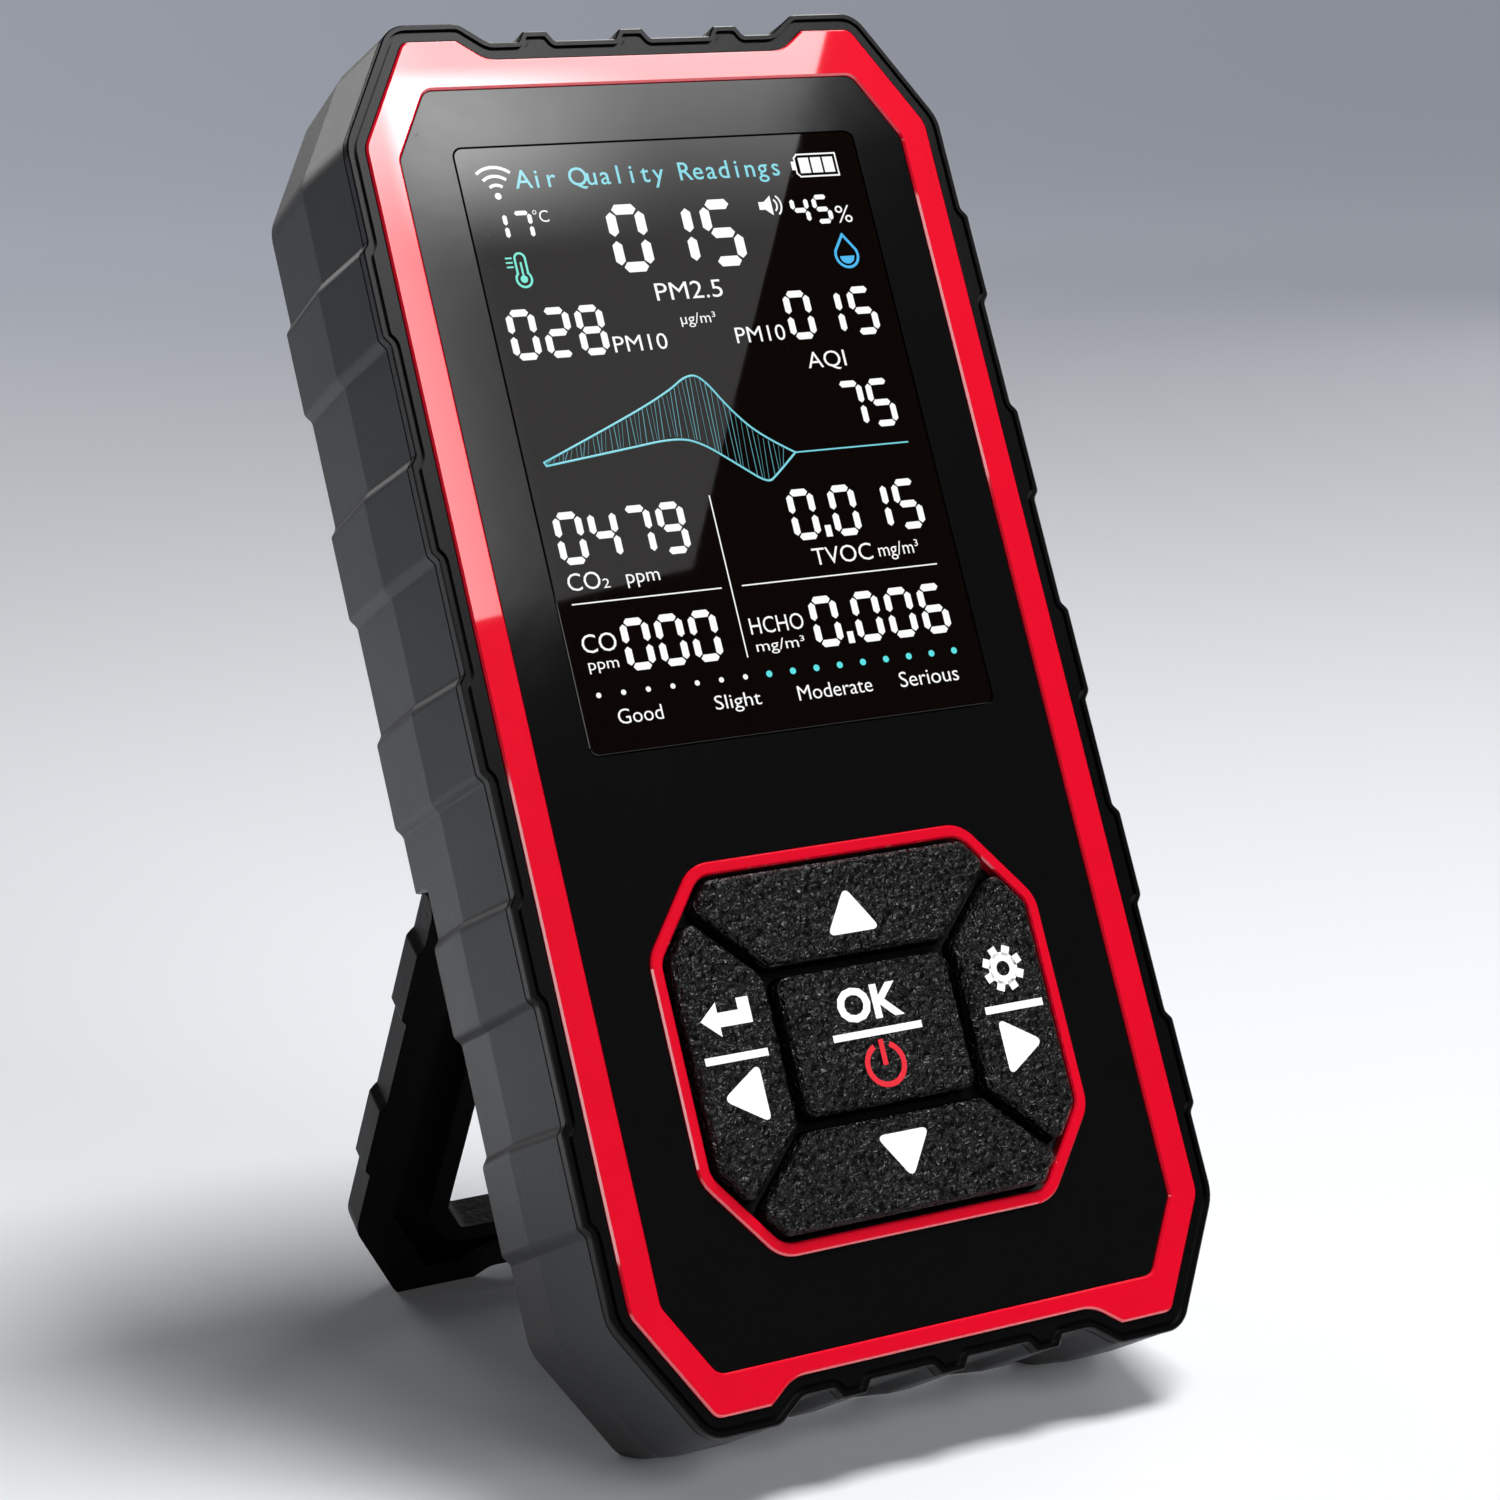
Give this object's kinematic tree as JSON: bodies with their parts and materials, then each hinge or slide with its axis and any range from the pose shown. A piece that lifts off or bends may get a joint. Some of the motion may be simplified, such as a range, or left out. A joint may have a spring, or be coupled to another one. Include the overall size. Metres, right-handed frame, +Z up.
{
  "type": "air quality monitor",
  "caption": "Handheld air quality monitor with a red and black rugged case, colour screen, press keys and a folding kickstand, standing open.",
  "frame": {"origin": "under the middle of the object's box, on the surface that it stands on with the stand open", "axes": "+Z up; -Y the way the screen faces; +X to the right of a person facing the screen"},
  "size_m": [0.0752, 0.0864, 0.1433],
  "materials": {
    "boot_rubber": "fine satin grain",
    "grip_rubber": "fine satin grain",
    "rim_plastic": "satin with a soft gloss",
    "back_plastic": "fine spark texture",
    "red_gloss": "high gloss",
    "panel_black": "gloss",
    "screen_black": "polished",
    "key_rubber": "leather grain",
    "seal_silicone": "matte",
    "foam": "open foam",
    "filter_cloth": "woven mesh",
    "display_glass": "polished",
    "bare_steel": "brushed",
    "flex_film": "smooth film",
    "dark_housing": "moulded",
    "sensor_case": "moulded",
    "brass_barrel": "turned",
    "gold_can": "gold wash",
    "sensor_white": "moulded",
    "battery_foil": "soft foil",
    "board_green": "solder mask",
    "screw_steel": "plated",
    "screw_black": "black oxide",
    "plate_foil": "blank satin foil"
  },
  "bodies": {
    "case": {"rubber_boot": "boot_rubber", "front_shell": "rim_plastic", "back_shell": "back_plastic", "bezel_frame": "red_gloss", "keypad_ring": "red_gloss", "front_panel": "panel_black", "screen_lens": "screen_black", "case_seal": "seal_silicone", "keypad_membrane": "seal_silicone", "battery_pad": "foam", "vent_filter": "filter_cloth", "display_glass": "display_glass", "display_backlight": "bare_steel", "display_ribbon": "flex_film", "key_switches": "dark_housing", "alarm_buzzer": "dark_housing", "particle_sensor": "sensor_case", "particle_laser": "brass_barrel", "carbon_dioxide_sensor": "gold_can", "formaldehyde_sensor": "sensor_white", "carbon_monoxide_sensor": "bare_steel", "voc_sensor": "bare_steel", "humidity_sensor": "sensor_white", "wifi_module": "bare_steel", "battery": "battery_foil", "charging_port": "bare_steel", "main_board": "board_green", "board_screws": "screw_steel", "case_screws": "screw_black", "hinge_pins": "screw_steel", "rating_plate": "plate_foil"},
    "stand": {"kickstand": "back_plastic", "stand_grip": "grip_rubber"},
    "fan": {"sensor_fan": "dark_housing"},
    "key_up": {"key_up": "key_rubber"},
    "key_down": {"key_down": "key_rubber"},
    "key_left": {"key_left": "key_rubber"},
    "key_right": {"key_right": "key_rubber"},
    "key_ok": {"key_ok": "key_rubber"}
  },
  "joints": [
    {"name": "stand_hinge", "type": "hinge", "parent": "case", "child": "stand", "pos_m": [0, 0.00282, 0.0526], "axis": [-1, 0, 0], "range_deg": [0, 54.84]},
    {"name": "press_up", "type": "slide", "parent": "case", "child": "key_up", "axis": [0, 0.9026, -0.4305], "range_m": [0, 0.0008], "stiffness_N_per_m": 1800},
    {"name": "press_down", "type": "slide", "parent": "case", "child": "key_down", "axis": [0, 0.9026, -0.4305], "range_m": [0, 0.0008], "stiffness_N_per_m": 1800},
    {"name": "press_left", "type": "slide", "parent": "case", "child": "key_left", "axis": [0, 0.9026, -0.4305], "range_m": [0, 0.0008], "stiffness_N_per_m": 1800},
    {"name": "press_right", "type": "slide", "parent": "case", "child": "key_right", "axis": [0, 0.9026, -0.4305], "range_m": [0, 0.0008], "stiffness_N_per_m": 1800},
    {"name": "press_ok", "type": "slide", "parent": "case", "child": "key_ok", "axis": [0, 0.9026, -0.4305], "range_m": [0, 0.0008], "stiffness_N_per_m": 1800},
    {"name": "fan_spin", "type": "hinge", "parent": "case", "child": "fan", "pos_m": [-0.0015, 0.01443, 0.09182], "axis": [0, 0.9026, -0.4305], "continuous": true}
  ]
}
